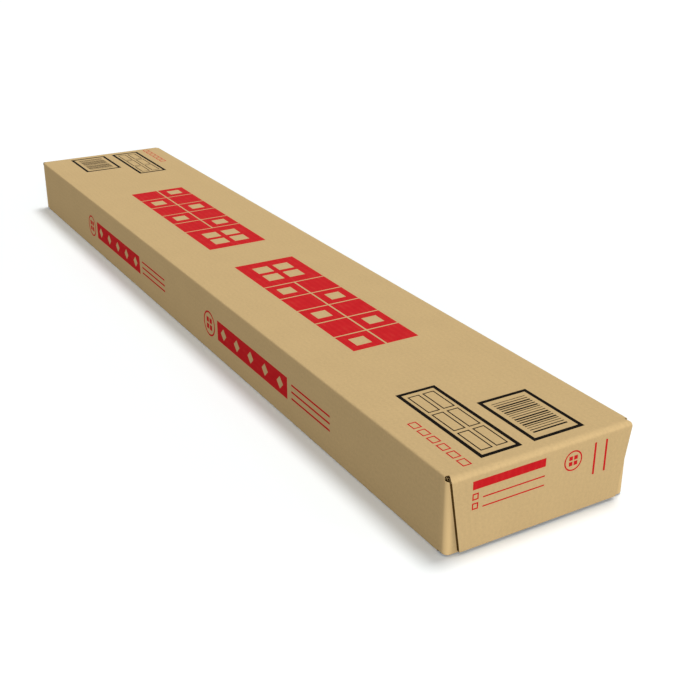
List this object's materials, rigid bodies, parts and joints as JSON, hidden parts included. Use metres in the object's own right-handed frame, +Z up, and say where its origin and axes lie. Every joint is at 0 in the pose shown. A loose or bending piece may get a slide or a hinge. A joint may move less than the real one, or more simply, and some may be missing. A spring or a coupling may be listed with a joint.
{
  "type": "corrugated shipping carton",
  "caption": "Long, low corrugated kraft carton for ceiling grid tees, folded from one blank, with layered tapered end flaps, corner slots and a glued lap along one edge.",
  "frame": {"origin": "middle of the underside, on the floor", "axes": "+X along the carton's length, +Y across it towards the side with the glued lap, +Z up"},
  "size_m": [1.2488, 0.2182, 0.0837],
  "materials": {
    "kraft_board": "matte brown kraft liner",
    "red_ink": "flat printing ink on kraft liner",
    "black_ink": "flat printing ink on kraft liner"
  },
  "bodies": {
    "root": {"carton": "kraft_board"}
  },
  "joints": []
}
